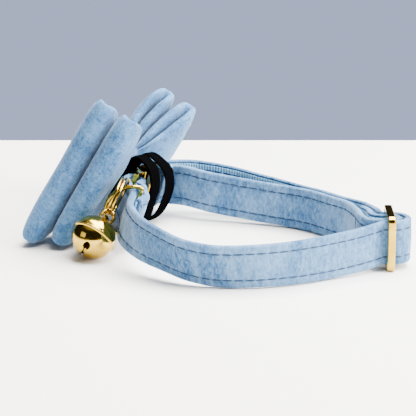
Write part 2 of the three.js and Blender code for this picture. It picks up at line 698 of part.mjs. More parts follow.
const pinch = wingAt(0);
const knotHalfHigh = pinch.high + 1.7 * gap + knotWall / 2;
const knotHalfDeep = pinch.set + pinch.spread + pinch.thick / 2 + 1.5 * gap + knotWall / 2;
const knotOutline = roundedBox(new THREE.Shape(), 2 * knotHalfHigh, 2 * knotHalfDeep, 1.9)
  .getPoints(4).map((point) => [point.x, point.y]);
knotOutline.pop();
addPiece('bow_knot', sweepBand(knotOutline, -knotWidth / 2, knotWidth / 2, knotWall, 0.4), velvetBlue);

// Elastic loops: sewn flat to the knot's back, each goes round the fastened buckle and strap ends.
// up is a share of the strap's width, and back is a share of the way from the knot's back to the
// far side of the strap ends. The far loop hangs slack, which the third column adds to back.
const elasticRows = [
  { up: -0.20, back: 0.02, slack: 0 },
  { up: 0.20, back: 0.005, slack: 0 },
  { up: 0.57, back: 0.03, slack: 0 },
  { up: 0.79, back: 0.14, slack: 0 },
  { up: 0.80, back: 0.38, slack: 0.03 },
  { up: 0.70, back: 0.61, slack: 0.12 },
  { up: 0.38, back: 0.82, slack: 0.13 },
  { up: -0.03, back: 0.92, slack: 0.12 },
  { up: -0.40, back: 1.00, slack: 0.03 },
  { up: -0.66, back: 0.90, slack: 0 },
  { up: -0.73, back: 0.60, slack: 0 },
  { up: -0.60, back: 0.23, slack: 0 },
];
const elasticSeat = -(knotHalfDeep + knotWall / 2 + 1.3 * gap + elasticThickness / 2);
const elasticReach = knotStandoff + elasticSeat + wrapRadius + strapThickness / 2 + gap + 3.6;

const elasticApart = 1.1; // from the knot's middle to each elastic

function buildElastic(name, from, slack, hang) {
  const corners = elasticRows.map((row) => new THREE.Vector3(
    (row.up < 0 ? hang : 1) * row.up * strapWidth,
    elasticSeat - (row.back + slack * row.slack) * elasticReach,
    0));
  const path = new THREE.CatmullRomCurve3(corners, true);
  const points = path.getPoints(28).slice(0, -1).map((point) => [point.x, point.y]);
  addPiece(name, sweepBand(points, from, from + elasticWidth, elasticThickness, 0.3), elasticBlack);
}
buildElastic('elastic_near', -elasticWidth - elasticApart, 0, 1);
buildElastic('elastic_far', elasticApart, 1, 0.87);

// The part's origin is the middle of its outline on the table
const wrapped = new THREE.Group();
wrapped.add(collar);
collar.updateMatrixWorld(true);
const bounds = new THREE.Box3().setFromObject(collar, true);
collar.position.set(-(bounds.min.x + bounds.max.x) / 2, -(bounds.min.y + bounds.max.y) / 2, -bounds.min.z);
wrapped.updateMatrixWorld(true);

export default wrapped;
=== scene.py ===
import math

import bmesh
import bpy
from mathutils import Matrix, Vector, noise


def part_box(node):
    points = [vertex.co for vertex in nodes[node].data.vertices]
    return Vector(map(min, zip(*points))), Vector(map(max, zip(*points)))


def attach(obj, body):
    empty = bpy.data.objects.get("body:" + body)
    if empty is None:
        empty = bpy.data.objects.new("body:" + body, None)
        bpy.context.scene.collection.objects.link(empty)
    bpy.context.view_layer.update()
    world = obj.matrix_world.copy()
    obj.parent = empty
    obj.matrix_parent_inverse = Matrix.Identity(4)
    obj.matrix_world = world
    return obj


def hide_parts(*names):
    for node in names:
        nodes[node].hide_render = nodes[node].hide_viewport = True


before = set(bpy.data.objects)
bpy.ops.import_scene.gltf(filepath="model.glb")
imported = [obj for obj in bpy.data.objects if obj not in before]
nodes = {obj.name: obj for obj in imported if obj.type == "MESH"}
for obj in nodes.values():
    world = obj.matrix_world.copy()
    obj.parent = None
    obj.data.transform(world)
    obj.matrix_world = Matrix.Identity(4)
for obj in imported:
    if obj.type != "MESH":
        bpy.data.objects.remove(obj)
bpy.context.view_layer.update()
mm = 0.001
up = Vector((0, 0, 1))
east = Vector((1, 0, 0))
south = Vector((0, -1, 0))
print("frame loaded:", len(nodes), "nodes")


# The strap's route, in millimetres from the loop's middle, as the part's source has it

route = {
    "gap": 0.3,
    "width": 15.0,
    "velvet": 1.2,
    "webbing": 1.0,
    "loopLength": 99.0,
    "loopDepth": 92.0,
    "sliderBarWidth": 2.6,
    "sliderBarDepth": 1.8,
    "sliderRail": 1.7,
    "buckleBar": 2.0,
    "buckleReach": 10.0,
    "buckleHeading": 69.0,  # degrees
    "buckleLean": 14.0,
    # rows of along, deep, lift and lean: shares of length, depth and strap width, then degrees
    "nearRun": [
        (-0.488, 0.005, 0.40, -20), (-0.482, -0.120, 0.37, -15), (-0.454, -0.212, 0.33, -9),
        (-0.404, -0.304, 0.28, 0), (-0.322, -0.388, 0.20, 9), (-0.250, -0.443, 0.11, 13),
        (-0.161, -0.473, 0.03, 12), (-0.050, -0.484, 0.03, 9), (0.091, -0.453, 0.03, 5),
        (0.233, -0.377, 0.03, 1), (0.329, -0.327, 0.08, 0),
    ],
    "outerRun": [
        (0.358, 0.010, 0.08, 0), (0.295, 0.110, 0.03, 0), (0.226, 0.201, 0.03, 0),
        (0.152, 0.279, 0.03, 0), (0.075, 0.347, 0.07, 0), (0.003, 0.390, 0.13, 0),
        (-0.070, 0.432, 0.20, 0), (-0.151, 0.465, 0.28, -3), (-0.232, 0.486, 0.34, -6),
        (-0.311, 0.479, 0.38, -10),
    ],
    "innerRun": [
        (-0.262, 0.400, 0.30, 1), (-0.185, 0.364, 0.22, 1), (-0.109, 0.342, 0.15, 0),
        (-0.033, 0.316, 0.10, 0), (0.046, 0.288, 0.05, 0), (0.122, 0.251, 0.03, 0),
        (0.188, 0.197, 0.03, 0), (0.257, 0.108, 0.03, 0), (0.304, 0.021, 0.07, 0),
    ],
}

thickness = route["velvet"] + route["gap"] + route["webbing"]
laneStep = thickness + route["gap"]
middleLane = route["sliderBarDepth"] / 2 + 1.4 * route["gap"] + thickness / 2
sliderPitch = 2 * middleLane + laneStep
sliderHeight = route["width"] + 2 * route["gap"] + 2 * route["sliderRail"]
sliderPlace = Vector((0.429 * route["loopLength"], -0.216 * route["loopDepth"], sliderHeight / 2))
wrapRadius = route["buckleBar"] / 2 + 1.4 * route["gap"] + thickness / 2
lowCorner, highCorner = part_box("slider")
loopShift = (lowCorner + highCorner) / 2 - sliderPlace * mm


def toScene(point):
    return point * mm + loopShift


heading = math.radians(route["buckleHeading"])
leanTurn = math.radians(route["buckleLean"])
buckleAlong = Vector((math.cos(heading), math.sin(heading), 0))
buckleNeck = buckleAlong.cross(up)
buckleAcross = up * math.cos(leanTurn) + buckleNeck * math.sin(leanTurn)
buckleOut = buckleAcross.cross(buckleAlong)
buckleMiddle = Vector((-0.421 * route["loopLength"], 0.292 * route["loopDepth"], 0.87 * route["width"]))
barPlace = route["buckleReach"] - route["buckleBar"] / 2


def bucklePoint(along, out):
    return buckleMiddle + buckleAlong * along + buckleOut * out


def sliderPoint(x, lane):
    return sliderPlace + Vector((x, lane, 0))


def splinePoint(points, share):
    place = (len(points) - 1) * share
    i = min(int(place), len(points) - 2)
    t = place - i
    b, c = points[i], points[i + 1]
    a = points[i - 1] if i > 0 else b * 2 - c
    d = points[i + 2] if i + 2 < len(points) else c * 2 - b
    stepA, stepB, stepC = (max((q - p).length, 1e-4) ** 0.5 for p, q in ((a, b), (b, c), (c, d)))
    slopeB = ((b - a) / stepA - (c - a) / (stepA + stepB) + (c - b) / stepB) * stepB
    slopeC = ((c - b) / stepB - (d - b) / (stepB + stepC) + (d - c) / stepC) * stepB
    return (b + slopeB * t + (c * 3 - b * 3 - slopeB * 2 - slopeC) * t**2
            + (b * 2 - c * 2 + slopeB + slopeC) * t**3)


def runStations(rows, before, after, leanBefore, leanAfter, samples):
    placed = [Vector((along * route["loopLength"], deep * route["loopDepth"], lift * route["width"]))
              for along, deep, lift, _ in rows]
    points = [before, *placed, after]
    leans = [leanBefore, *(row[3] for row in rows), leanAfter]
    spans = len(rows) + 1
    found = []
    for i in range(1, spans * samples):
        share = i / (spans * samples)
        row = i // samples
        lean = math.radians(leans[row] + (leans[row + 1] - leans[row]) * (i / samples - row))
        travel = splinePoint(points, share + 1e-4) - splinePoint(points, share - 1e-4)
        travel.z = 0
        right = travel.normalized().cross(up)
        across = up * math.cos(lean) + right * math.sin(lean)
        found.append((splinePoint(points, share) + across * route["width"] / 2, across))
    return found


def turnStations(centre, start, ahead, across, radius, steps):
    return [(centre + start * radius * math.cos(math.pi * i / steps)
             + ahead * radius * math.sin(math.pi * i / steps), across) for i in range(steps + 1)]


def rightOf(stations, i):
    before = stations[max(i - 1, 0)][0]
    after = stations[min(i + 1, len(stations) - 1)][0]
    return (after - before).cross(stations[i][1]).normalized()


def footOf(station):
    return station[0] - station[1] * route["width"] / 2


strapEase = 0.34 * route["width"]
besideBar = -(route["sliderBarWidth"] / 2 + route["gap"] + thickness / 2)
nearLane = -(middleLane + laneStep)
outerLane = middleLane + laneStep
nearStart = (bucklePoint(-barPlace - 0.2 * route["width"], wrapRadius), buckleAcross)
nearEnd = (sliderPoint(-route["sliderBarWidth"], nearLane), up)
nearStations = runStations(route["nearRun"], footOf(nearStart), footOf(nearEnd), -route["buckleLean"], 0, 3)
dRingWire = 1.5
dRingLane = dRingWire + 2 * route["gap"] + thickness + 0.2
dRingIndex = 2


def buildRoute():
    offsets = [2 * wrapRadius, dRingLane + 0.15, dRingLane, laneStep + 0.3, laneStep]
    flap = [(nearStations[i][0] - rightOf(nearStations, i) * off, nearStations[i][1])
            for i, off in enumerate(offsets)]
    stations = flap[::-1] + [(bucklePoint(-barPlace - 0.2 * route["width"], -wrapRadius), buckleAcross)]
    nearBar = bucklePoint(-barPlace, 0)
    stations += turnStations(nearBar, -buckleOut, buckleAlong, buckleAcross, wrapRadius, 8)
    stations += [nearStart, *nearStations, nearEnd]
    stations += turnStations(sliderPoint(0.7, 0), south, east, up, -nearLane, 12)
    leaving = [
        (sliderPoint(besideBar * 0.7, outerLane), up),
        (sliderPoint(besideBar - 0.1, outerLane + 0.6 * laneStep), up),
        (sliderPoint(besideBar - 0.4, sliderPitch + 0.6 * laneStep), up),
    ]
    outerEnd = (bucklePoint(barPlace + strapEase, wrapRadius), buckleAcross)
    outer = runStations(route["outerRun"], footOf(leaving[2]), footOf(outerEnd), 0, -route["buckleLean"], 2)
    stations += [*leaving, *outer, outerEnd]
    farBar = bucklePoint(barPlace, 0)
    stations += turnStations(farBar, buckleOut, -buckleAlong, buckleAcross, wrapRadius, 8)
    innerStart = (bucklePoint(barPlace + 1.3 * strapEase, -wrapRadius - 2.7),
                  (buckleAcross + up).normalized())
    stations += [
        (bucklePoint(barPlace + 0.6 * strapEase, -wrapRadius), buckleAcross),
        (bucklePoint(barPlace + 0.95 * strapEase, -wrapRadius - 0.6), buckleAcross),
        innerStart,
    ]
    innerLead = (sliderPoint(besideBar - 2.2 * laneStep - 0.8, sliderPitch), up)
    stations += runStations(route["innerRun"], footOf(innerStart), footOf(innerLead), 0, 0, 2)
    stations += [
        innerLead,
        (sliderPoint(besideBar - 2 * laneStep - 0.4, 0.5 * middleLane), up),
        (sliderPoint(besideBar - 1.5 * laneStep, -0.7 * middleLane), up),
        (sliderPoint(besideBar * 0.8, -middleLane), up),
    ]
    wrapCentre = (route["sliderBarWidth"] - route["sliderBarDepth"]) / 2
    stations += turnStations(sliderPoint(wrapCentre, 0), south, east, up, middleLane, 8)
    stations += [
        (sliderPoint(besideBar * 0.9, middleLane), up),
        (sliderPoint(besideBar - 0.75 * laneStep, middleLane + 0.35 * laneStep), up),
        (sliderPoint(besideBar - 1.1 * laneStep, outerLane + 0.1 * laneStep), up),
    ]
    beside = [*leaving, *outer]
    stations += [(beside[i][0] - rightOf(beside, i) * (laneStep + 0.15), up) for i in (2, 3)]
    return stations


def smoothRoute(stations, steps):
    middles = [s[0] for s in stations]
    acrosses = [s[1] for s in stations]
    count = (len(stations) - 1) * steps
    fine = [(splinePoint(middles, i / count), splinePoint(acrosses, i / count).normalized())
            for i in range(count + 1)]
    lengths = [0.0]
    for (a, _), (b, _) in zip(fine, fine[1:]):
        lengths.append(lengths[-1] + (b - a).length)
    return fine, lengths


routeSteps = 4
strapRoute, strapLengths = smoothRoute(buildRoute(), routeSteps)
print("strap route:", len(strapRoute), "stations,", round(strapLengths[-1]), "mm")


def finishMesh(name, bm, material, smooth=True):
    bmesh.ops.recalc_face_normals(bm, faces=bm.faces)
    mesh = bpy.data.meshes.new(name)
    bm.to_mesh(mesh)
    bm.free()
    mesh.polygons.foreach_set("use_smooth", [smooth] * len(mesh.polygons))
    piece = bpy.data.objects.new(name, mesh)
    bpy.context.scene.collection.objects.link(piece)
    piece.data.materials.append(material)
    return piece


def shadeSmooth(mesh):
    mesh.polygons.foreach_set("use_smooth", [True] * len(mesh.polygons))


def applyAll(piece):
    depsgraph = bpy.context.evaluated_depsgraph_get()
    baked = bpy.data.meshes.new_from_object(piece.evaluated_get(depsgraph))
    piece.modifiers.clear()
    piece.data = baked


def sweep(bm, rings, closedPath=False, values=None):
    # a grid rolled into a tube: one row of it for each ring, its seam merged and its ends filled
    around = len(rings[0])
    rows = [*rings, rings[0]] if closedPath else rings
    bmesh.ops.create_grid(bm, x_segments=around, y_segments=len(rows) - 1, size=0.5)
    layer = bm.loops.layers.uv.verify() if values else None
    marks = {}
    for vert in bm.verts:
        marks[vert] = (round((vert.co.y + 0.5) * (len(rows) - 1)), round((vert.co.x + 0.5) * around))
    for vert, (step, j) in marks.items():
        vert.co = rows[step][j % around]
    if values:
        for face in bm.faces:
            for loop in face.loops:
                loop[layer].uv = values(*marks[loop.vert])
    bmesh.ops.remove_doubles(bm, verts=bm.verts, dist=1e-7)
    if not closedPath:
        bmesh.ops.holes_fill(bm, edges=[e for e in bm.edges if e.is_boundary], sides=0)


def strapRings(section):
    # a section's points are how far out and how far across
    rings = []
    for i, (middle, across) in enumerate(strapRoute):
        right = rightOf(strapRoute, i)
        rings.append([toScene(middle + right * out + across * width) for out, width in section])
    return rings


# Shader groups, one for each effect that several finishes share

def newGroup(name, inputs, outputs):
    tree = bpy.data.node_groups.new(name, "ShaderNodeTree")
    for label, kind, value in inputs:
        socket = tree.interface.new_socket(label, in_out="INPUT", socket_type=kind)
        if value is not None:
            socket.default_value = value
    for label, kind in outputs:
        tree.interface.new_socket(label, in_out="OUTPUT", socket_type=kind)
    return tree, tree.nodes.new("NodeGroupInput"), tree.nodes.new("NodeGroupOutput")


def addNode(tree, kind, links=None, **settings):
    made = tree.nodes.new(kind)
    for key, value in settings.items():
        setattr(made, key, value)
    for socket, source in (links or {}).items():
        if isinstance(source, bpy.types.NodeSocket):
            tree.links.new(source, made.inputs[socket])
        else:
            made.inputs[socket].default_value = source
    return made


def mixColours(tree, factor, first, second):
    # of a Mix node's sockets, 6 and 7 are its colours, and its third output is the mixed colour
    return addNode(tree, "ShaderNodeMix", {0: factor, 6: first, 7: second}, data_type="RGBA").outputs[2]


def mathNode(tree, operation, first, second=0.0, third=0.0):
    sources = {0: first, 1: second, 2: third}
    return addNode(tree, "ShaderNodeMath", sources, operation=operation).outputs[0]


def buildPileGroup():
    # velvet: brushed patches of pile, lighter and darker as painted sheen, under a fine mottle of tufts
    tree, given, out = newGroup("velvetPile", [
        ("Vector", "NodeSocketVector", None),
        ("Light", "NodeSocketColor", (0.6, 0.75, 0.9, 1)),
        ("Deep", "NodeSocketColor", (0.3, 0.5, 0.75, 1)),
        ("Sheen Patch Scale", "NodeSocketFloat", 60.0),
        ("Mottle Scale", "NodeSocketFloat", 700.0),
    ], [("Color", "NodeSocketColor"), ("Height", "NodeSocketFloat"), ("Roughness", "NodeSocketFloat")])
    pileSheenPatches = addNode(tree, "ShaderNodeTexNoise", {
        "Vector": given.outputs["Vector"], "Scale": given.outputs["Sheen Patch Scale"],
        "Detail": 4.0, "Roughness": 0.6, "Distortion": 0.6})
    sheenPatchShare = addNode(tree, "ShaderNodeMapRange", {
        "Value": pileSheenPatches.outputs["Fac"], "From Min": 0.36, "From Max": 0.66},
        interpolation_type="SMOOTHSTEP")
    mottle = addNode(tree, "ShaderNodeTexNoise", {
        "Vector": given.outputs["Vector"], "Scale": given.outputs["Mottle Scale"],
        "Detail": 4.0, "Roughness": 0.75, "Distortion": 0.8})
    grain = addNode(tree, "ShaderNodeMapRange", {
        "Value": mottle.outputs["Fac"], "From Min": 0.33, "From Max": 0.67})
    # painted sheen: the colour's share takes the lighter and darker of the brushed pile patches, on top of
    # the tufts' own mottle
    share = mathNode(tree, "MULTIPLY_ADD", grain.outputs["Result"], 0.8,
                     mathNode(tree, "MULTIPLY_ADD", sheenPatchShare.outputs["Result"], 0.5, -0.16))
    colour = mixColours(tree, share, given.outputs["Deep"], given.outputs["Light"])
    patchHeight = mathNode(tree, "MULTIPLY", pileSheenPatches.outputs["Fac"], 0.5)
    height = mathNode(tree, "MULTIPLY_ADD", grain.outputs["Result"], 0.6, patchHeight)
    rough = mathNode(tree, "MULTIPLY_ADD", sheenPatchShare.outputs["Result"], -0.12, 0.95)
    tree.links.new(colour, out.inputs["Color"])
    tree.links.new(height, out.inputs["Height"])
    tree.links.new(rough, out.inputs["Roughness"])
    return tree


def buildWeaveGroup():
    # ribs across one direction and yarns along the other, in UV measured in millimetres; the colour follows
    # their height, with painted shade in the grooves
    tree, given, out = newGroup("ribbedWeave", [
        ("Vector", "NodeSocketVector", None),
        ("Rib Pitch", "NodeSocketFloat", 0.8),
        ("Yarn Pitch", "NodeSocketFloat", 0.5),
        ("Light", "NodeSocketColor", (0.5, 0.7, 0.9, 1)),
        ("Deep", "NodeSocketColor", (0.2, 0.4, 0.6, 1)),
    ], [("Color", "NodeSocketColor"), ("Height", "NodeSocketFloat"), ("Roughness", "NodeSocketFloat")])
    parts = addNode(tree, "ShaderNodeSeparateXYZ", {"Vector": given.outputs["Vector"]})
    along = mathNode(tree, "DIVIDE", parts.outputs["X"], given.outputs["Rib Pitch"])
    across = mathNode(tree, "DIVIDE", parts.outputs["Y"], given.outputs["Yarn Pitch"])
    stepped = mathNode(tree, "FLOOR", along)
    shifted = mathNode(tree, "MULTIPLY_ADD", stepped, 0.5, across)
    ribWave = mathNode(tree, "SINE", mathNode(tree, "MULTIPLY", along, 2 * math.pi))
    yarnWave = mathNode(tree, "SINE", mathNode(tree, "MULTIPLY", shifted, 2 * math.pi))
    rib = mathNode(tree, "MULTIPLY_ADD", ribWave, 0.5, 0.5)
    yarn = mathNode(tree, "MULTIPLY_ADD", yarnWave, 0.5, 0.5)
    height = mathNode(tree, "MULTIPLY_ADD", yarn, 0.3, rib)
    fuzz = addNode(tree, "ShaderNodeTexNoise", {
        "Vector": given.outputs["Vector"], "Scale": 1.7, "Detail": 3.0})
    fuzzShare = mathNode(tree, "MULTIPLY_ADD", fuzz.outputs["Fac"], 0.5, -0.25)
    # painted shade: the colour darkens with the height, down in the grooves between ribs and yarns, under a
    # random fuzz of tone
    share = mathNode(tree, "ADD", mathNode(tree, "MULTIPLY", height, 0.75), fuzzShare)
    colour = mixColours(tree, share, given.outputs["Deep"], given.outputs["Light"])
    tree.links.new(colour, out.inputs["Color"])
    tree.links.new(height, out.inputs["Height"])
    tree.links.new(mathNode(tree, "MULTIPLY_ADD", rib, -0.15, 0.85), out.inputs["Roughness"])
    return tree


def buildWearGroup():
    # fine handling marks on plated metal
    tree, given, out = newGroup("platedWear", [
        ("Vector", "NodeSocketVector", None),
        ("Plate", "NodeSocketColor", (0.9, 0.8, 0.6, 1)),
        ("Dull", "NodeSocketColor", (0.8, 0.7, 0.5, 1)),
        ("Smoothness", "NodeSocketFloat", 0.1),
    ], [("Color", "NodeSocketColor"), ("Height", "NodeSocketFloat"), ("Roughness", "NodeSocketFloat")])
    film = addNode(tree, "ShaderNodeTexNoise", {
        "Vector": given.outputs["Vector"], "Scale": 260.0, "Detail": 4.0})
    marks = addNode(tree, "ShaderNodeTexNoise", {
        "Vector": given.outputs["Vector"], "Scale": 1400.0, "Detail": 2.0, "Distortion": 2.0})
    share = addNode(tree, "ShaderNodeMapRange", {
        "Value": film.outputs["Fac"], "From Min": 0.4, "From Max": 0.75})
    colour = mixColours(tree, share.outputs["Result"], given.outputs["Plate"], given.outputs["Dull"])
    added = mathNode(tree, "MULTIPLY_ADD", share.outputs["Result"], 0.09, given.outputs["Smoothness"])
    tree.links.new(colour, out.inputs["Color"])
    tree.links.new(marks.outputs["Fac"], out.inputs["Height"])
    tree.links.new(added, out.inputs["Roughness"])
    return tree


pileGroup = buildPileGroup()
weaveGroup = buildWeaveGroup()
wearGroup = buildWearGroup()


def newMaterial(name):
    material = bpy.data.materials.new(name)
    material.use_nodes = True
    tree = material.node_tree
    return material, tree, tree.nodes["Principled BSDF"], addNode(tree, "ShaderNodeTexCoord")


def placeGroup(tree, group, shader, values, bumpStrength, bumpDistance):
    placed = addNode(tree, "ShaderNodeGroup", values, node_tree=group)
    tree.links.new(placed.outputs["Color"], shader.inputs["Base Color"])
    tree.links.new(placed.outputs["Roughness"], shader.inputs["Roughness"])
    bump = addNode(tree, "ShaderNodeBump", {
        "Strength": bumpStrength, "Distance": bumpDistance, "Height": placed.outputs["Height"]})
    tree.links.new(bump.outputs["Normal"], shader.inputs["Normal"])


patternTurn = (0.5, 0.8, 0.3)  # the noise is turned and moved off its own grid
patternShift = (0.31, 0.17, 0.23)


def velvetMaterial(name, look):
    material, tree, shader, coords = newMaterial(name)
    # the strap's pattern follows its own length in UV, drawn out across it so that the painted sheen
    # patches lie as bands across the strap, and the bow's its place
    vector = addNode(tree, "ShaderNodeMapping", {
        "Vector": coords.outputs[look["source"]], "Scale": look["stretch"],
        "Rotation": patternTurn, "Location": patternShift})
    placeGroup(tree, pileGroup, shader, {
        "Vector": vector.outputs["Vector"], "Light": look["light"], "Deep": look["deep"],
        "Sheen Patch Scale": look["pileSheenPatches"], "Mottle Scale": look["mottle"]}, look["bump"], 0.0005)
    shader.inputs["Sheen Weight"].default_value = look["sheen"]
    shader.inputs["Sheen Roughness"].default_value = 0.35
    shader.inputs["Sheen Tint"].default_value = (0.80, 0.91, 1.0, 1)
    shader.inputs["Specular IOR Level"].default_value = 0.08
    return material


# light and deep are one velvet's tones, mixed by the painted sheen patches and the tufts' own mottle
velvetLooks = {
    "strap": {
        "source": "UV",
        "stretch": (0.001, 0.00045, 0.001),
        "light": (0.145, 0.275, 0.455, 1),
        "deep": (0.026, 0.085, 0.19, 1),
        "pileSheenPatches": 85.0,
        "mottle": 950.0,
        "bump": 0.5,
        "sheen": 0.34,
    },
    "bow": {
        "source": "Object",
        "stretch": (1, 1, 1),
        "light": (0.112, 0.246, 0.435, 1),
        "deep": (0.016, 0.07, 0.175, 1),
        "pileSheenPatches": 70.0,
        "mottle": 950.0,
        "bump": 0.55,
        "sheen": 0.34,
    },
}

finishes = {
    # webbing and elastic: a lit colour for the rib tops and painted shade for the grooves between them
    "webRibLit": (0.17, 0.40, 0.60, 1),
    "webGrooveShade": (0.035, 0.13, 0.26, 1),
    "thread": (0.010, 0.04, 0.105, 1),
    "threadShade": (0.004, 0.018, 0.055, 1),
    "gold": (0.58, 0.385, 0.05, 1),
    "dullGold": (0.42, 0.26, 0.03, 1),
    "elasticRibLit": (0.0016, 0.0016, 0.0018, 1),
    "elasticGrooveShade": (0.0004, 0.0004, 0.0005, 1),
    "webRib": 1.05,  # pitches in millimetres
    "webYarn": 0.6,
    "elasticRib": 0.9,
    "elasticYarn": 0.7,
    "goldRoughness": 0.09,
}

strapVelvetFinish = velvetMaterial("strapVelvetFinish", velvetLooks["strap"])
bowVelvetFinish = velvetMaterial("bowVelvetFinish", velvetLooks["bow"])

webbingFinish, tree, shader, coords = newMaterial("webbingFinish")
placeGroup(tree, weaveGroup, shader, {
    "Vector": coords.outputs["UV"], "Rib Pitch": finishes["webRib"], "Yarn Pitch": finishes["webYarn"],
    "Light": finishes["webRibLit"], "Deep": finishes["webGrooveShade"]}, 0.8, 0.0003)
shader.inputs["Sheen Weight"].default_value = 0.2
shader.inputs["Specular IOR Level"].default_value = 0.3

threadFinish, tree, shader, coords = newMaterial("threadFinish")
threadTwist = addNode(tree, "ShaderNodeTexNoise", {
    "Vector": coords.outputs["Object"], "Scale": 1800.0, "Detail": 2.0})
threadColour = mixColours(tree, threadTwist.outputs["Fac"], finishes["threadShade"], finishes["thread"])
tree.links.new(threadColour, shader.inputs["Base Color"])
threadBump = addNode(tree, "ShaderNodeBump", {
    "Strength": 0.4, "Distance": 0.0001, "Height": threadTwist.outputs["Fac"]})
tree.links.new(threadBump.outputs["Normal"], shader.inputs["Normal"])
shader.inputs["Roughness"].default_value = 0.7

goldFinish, tree, shader, coords = newMaterial("goldFinish")
placeGroup(tree, wearGroup, shader, {
    "Vector": coords.outputs["Object"], "Plate": finishes["gold"], "Dull": finishes["dullGold"],
    "Smoothness": finishes["goldRoughness"]}, 0.04, 0.00005)
shader.inputs["Metallic"].default_value = 1.0

elasticFinish, tree, shader, coords = newMaterial("elasticFinish")
placeGroup(tree, weaveGroup, shader, {
    "Vector": coords.outputs["UV"],
    "Rib Pitch": finishes["elasticRib"], "Yarn Pitch": finishes["elasticYarn"],
    "Light": finishes["elasticRibLit"], "Deep": finishes["elasticGrooveShade"]}, 0.6, 0.0002)
shader.inputs["Specular IOR Level"].default_value = 0.0
print("finishes made")


# Strap: velvet turned over the edges of the webbing, with a stitch row sunk along each side

strapForm = {
    "rowPlace": 4.65,  # stitch rows, from the strap's middle
    "face": 1.24,
    "sink": 0.34,
    "hem": 6.62,
    "hemBack": -0.92,
    "webHalf": 6.45,
    "webBack": -1.24,
    "webFront": -0.32,
}


def velvetSection():
    half = route["width"] / 2
    row = strapForm["rowPlace"]
    face = strapForm["face"]
    sink = strapForm["sink"]
    hem = strapForm["hem"]
    hemBack = strapForm["hemBack"]
    side = [
        (face, 0.0), (face - 0.01, 1.6), (face - 0.05, 3.1), (face - 0.14, 3.95),
        (face - sink, row - 0.25), (face - sink, row + 0.25), (face - 0.17, row + 0.85),
        (face - 0.12, row + 1.6), (face - 0.22, half - 0.55), (face - 0.5, half - 0.16),
        (0.15, half), (-0.45, half - 0.04), (-0.8, half - 0.22),
        (hemBack, half - 0.5), (hemBack + 0.04, hem), (0.02, hem - 0.02),
    ]
    # from one hem over the face to the other, so that the pattern's seam is out of sight
    return [(s, -w) for s, w in reversed(side[1:])] + side


def girthOf(section):
    girth = [0.0]
    for (a, b), (c, d) in zip(section, [*section[1:], section[0]]):
        girth.append(girth[-1] + math.hypot(c - a, d - b))
    return girth


def buildVelvet():
    section = velvetSection()
    girth = girthOf(section)
    bm = bmesh.new()
    sweep(bm, strapRings(section), values=lambda step, j: (strapLengths[step], girth[j]))
    piece = finishMesh("strapVelvet", bm, strapVelvetFinish)
    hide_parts("collar_strap")
    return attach(piece, "root")


def buildWebbing():
    half = strapForm["webHalf"]
    back = strapForm["webBack"]
    front = strapForm["webFront"]
    widths = [-half, -half + 0.2, -half / 2, 0, half / 2, half - 0.2, half]
    section = [(front, w) for w in widths]
    section += [(back + 0.15, half), (back, half - 0.2), (back, half / 2), (back, 0),
                (back, -half / 2), (back, -half + 0.2), (back + 0.15, -half)]
    girth = girthOf(section)
    bm = bmesh.new()
    sweep(bm, strapRings(section), values=lambda step, j: (strapLengths[step], girth[j]))
    piece = finishMesh("strapWebbing", bm, webbingFinish)
    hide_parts("strap_webbing")
    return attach(piece, "root")


def routeAt(length):
    low, high = 0, len(strapLengths) - 1
    while high - low > 1:
        middle = (low + high) // 2
        if strapLengths[middle] > length:
            high = middle
        else:
            low = middle
    t = (length - strapLengths[low]) / (strapLengths[high] - strapLengths[low])
    middle = strapRoute[low][0].lerp(strapRoute[high][0], t)
    across = strapRoute[low][1].lerp(strapRoute[high][1], t).normalized()
    travel = (strapRoute[high][0] - strapRoute[low][0]).normalized()
    right = travel.cross(across).normalized()
    return middle, across, travel, right


stitching = {
    "pitch": 3.6,
    "length": 3.35,
    "width": 0.56,
    "height": 0.32,
    "endGap": 3.0,
    "seamStations": 17,  # route stations from the cross seam in the inner run to the strap's end
    "seamPast": 1.2,
    "crossStep": 3.1,
    "wander": 0.06,
}


def makeBead():
    bm = bmesh.new()
    lying = Matrix.Rotation(math.pi / 2, 4, "Y")
    bmesh.ops.create_uvsphere(bm, u_segments=6, v_segments=6, radius=0.5, matrix=lying)
    size = (stitching["length"] * mm, stitching["width"] * mm, stitching["height"] * mm)
    bmesh.ops.scale(bm, verts=bm.verts, vec=size)
    bead = bpy.data.meshes.new("bead")
    bm.to_mesh(bead)
    bm.free()
    return bead


def addStitch(bm, bead, length, width, side, turned=False):
    middle, across, travel, right = routeAt(length)
    place = toScene(middle + right * side + across * width)
    along, over = (across, -travel) if turned else (travel, across)
    placed = bead.copy()
    placed.transform(Matrix.Translation(place) @ Matrix((along, over, right)).transposed().to_4x4())
    bm.from_mesh(placed)
    bpy.data.meshes.remove(placed)


def buildStitches():
    faceSide = strapForm["face"] - strapForm["sink"] + 0.08
    backSide = strapForm["webBack"] - 0.02
    bm = bmesh.new()
    bead = makeBead()
    count = int((strapLengths[-1] - 2 * stitching["endGap"]) / stitching["pitch"])
    for i in range(count + 1):
        length = stitching["endGap"] + i * stitching["pitch"]
        for sign in (-1, 1):
            wander = stitching["wander"] * noise.noise(Vector((length, sign * 3.0, 0)))
            for side in (faceSide, backSide):
                addStitch(bm, bead, length, sign * (strapForm["rowPlace"] + wander), side)
    seam = strapLengths[-1 - stitching["seamStations"] * routeSteps] + stitching["seamPast"]
    for place in (stitching["endGap"], seam, strapLengths[-1] - stitching["endGap"]):
        for k in (-1, 0, 1):  # three stitches straight across, raised on the face where no row is sunk
            for side in (faceSide + 0.25, backSide):
                addStitch(bm, bead, place, k * stitching["crossStep"], side, turned=True)
    piece = finishMesh("strapStitches", bm, threadFinish)
    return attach(piece, "root")


buildVelvet()
buildWebbing()
buildStitches()


# Where the D ring, the bow, the split ring and the bell lie, as the part's source has them

dPlace, dAcross = nearStations[dRingIndex]
dOut = rightOf(nearStations, dRingIndex)
dTravel = dAcross.cross(dOut).normalized()


